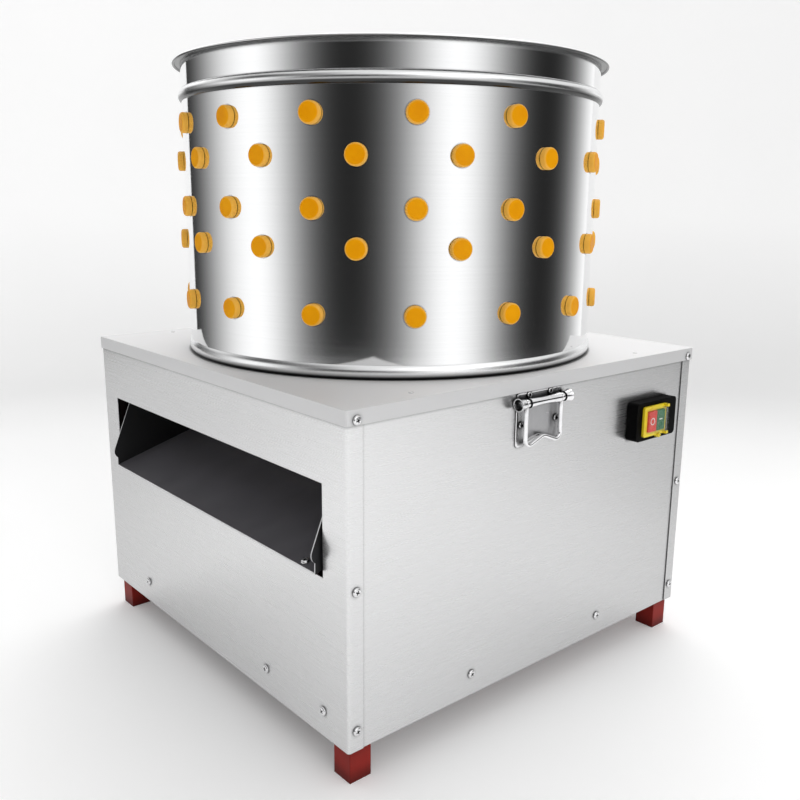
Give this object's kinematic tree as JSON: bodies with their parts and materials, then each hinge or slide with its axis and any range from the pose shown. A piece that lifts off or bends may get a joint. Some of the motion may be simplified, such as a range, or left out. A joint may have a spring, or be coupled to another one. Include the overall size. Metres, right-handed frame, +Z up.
{
  "type": "poultry plucker",
  "caption": "Drum poultry plucker: polished drum lined with ribbed rubber fingers, belt-driven finger turntable below, on a sheet-clad base with a feather outlet.",
  "frame": {"origin": "on the floor under the drum's axis", "axes": "+Z up, -Y out of the front with the switch and a handle, -X out of the feather outlet"},
  "size_m": [0.5611, 0.5826, 0.712],
  "materials": {
    "red_paint": "satin oxide-red paint",
    "stainless_sheet": "satin brushed stainless sheet",
    "drum_steel": "mirror-polished stainless sheet",
    "plain_steel": "bright turned steel",
    "dark_paint": "dark grey satin paint",
    "amber_rubber": "smooth moulded rubber",
    "black_rubber": "matt rubber",
    "cast_iron": "turned cast iron",
    "motor_paint": "satin machine paint",
    "black_plastic": "fine-grained moulding",
    "yellow_plastic": "glossy moulding",
    "red_plastic": "glossy moulding",
    "green_plastic": "glossy moulding",
    "clear_plastic": "clear moulding",
    "handle_plate": "bright plated steel"
  },
  "bodies": {
    "base": {"frame_legs": "red_paint", "upper_rails": "red_paint", "lower_rails": "red_paint", "cross_beams": "red_paint", "bearing_housing": "red_paint", "top_cover": "stainless_sheet", "left_panel": "stainless_sheet", "right_panel": "stainless_sheet", "front_panel": "stainless_sheet", "back_panel": "stainless_sheet", "drum_shell": "drum_steel", "panel_screws": "plain_steel", "cover_screws": "plain_steel", "chute_screws": "plain_steel", "splash_collar": "plain_steel", "housing_bolts": "plain_steel", "upper_bearing": "plain_steel", "lower_bearing": "plain_steel", "motor_bolts": "plain_steel", "flap_pin": "plain_steel", "front_handle_pin": "plain_steel", "back_handle_pin": "plain_steel", "feather_chute": "dark_paint", "drum_fingers_row_1": "amber_rubber", "drum_fingers_row_2": "amber_rubber", "drum_fingers_row_3": "amber_rubber", "drum_fingers_row_4": "amber_rubber", "drum_fingers_row_5": "amber_rubber", "drive_belt": "black_rubber", "motor_body": "motor_paint", "motor_fan_cover": "motor_paint", "motor_terminal_box": "motor_paint", "switch_box": "black_plastic", "cable_gland": "black_plastic", "switch_plate": "yellow_plastic", "front_handle_base": "handle_plate", "front_handle_rivets": "handle_plate", "back_handle_base": "handle_plate", "back_handle_rivets": "handle_plate"},
    "turntable": {"turntable_plate": "stainless_sheet", "turntable_fingers_inner": "amber_rubber", "turntable_fingers_middle": "amber_rubber", "turntable_fingers_outer": "amber_rubber", "turntable_hub": "plain_steel", "hub_bolts": "plain_steel", "shaft_washer": "plain_steel", "shaft_cap_nut": "plain_steel", "main_shaft": "plain_steel", "water_slinger": "black_rubber", "driven_pulley": "cast_iron", "pulley_bolt": "plain_steel"},
    "motor_rotor": {"motor_shaft": "plain_steel", "motor_pulley": "cast_iron"},
    "stop_button": {"red_button": "red_plastic"},
    "start_button": {"green_button": "green_plastic"},
    "flap": {"switch_flap": "clear_plastic"},
    "front_bail": {"front_handle_bail": "handle_plate"},
    "back_bail": {"back_handle_bail": "handle_plate"}
  },
  "joints": [
    {"name": "turntable_spin", "type": "hinge", "parent": "base", "child": "turntable", "pos_m": [0, 0, 0.4], "axis": [0, 0, 1], "continuous": true},
    {"name": "motor_spin", "type": "hinge", "parent": "base", "child": "motor_rotor", "pos_m": [0.185, 0, 0.2], "axis": [0, 0, 1], "continuous": true},
    {"name": "stop_press", "type": "slide", "parent": "base", "child": "stop_button", "axis": [0, 1, 0], "range_m": [0, 0.003], "stiffness_N_per_m": 400},
    {"name": "start_press", "type": "slide", "parent": "base", "child": "start_button", "axis": [0, 1, 0], "range_m": [0, 0.003], "stiffness_N_per_m": 400},
    {"name": "flap_swing", "type": "hinge", "parent": "base", "child": "flap", "pos_m": [0.198, -0.2895, 0.3025], "axis": [0, 0, 1], "range_deg": [0, 100]},
    {"name": "front_bail_swing", "type": "hinge", "parent": "base", "child": "front_bail", "pos_m": [-0.0165, -0.2768, 0.3535], "axis": [-1, 0, 0], "range_deg": [0, 100]},
    {"name": "back_bail_swing", "type": "hinge", "parent": "base", "child": "back_bail", "pos_m": [-0.0165, 0.2768, 0.3535], "axis": [1, 0, 0], "range_deg": [0, 100]}
  ],
  "couplings": [
    {"joint": "motor_spin", "follows": "turntable_spin", "ratio": 4.3725}
  ]
}
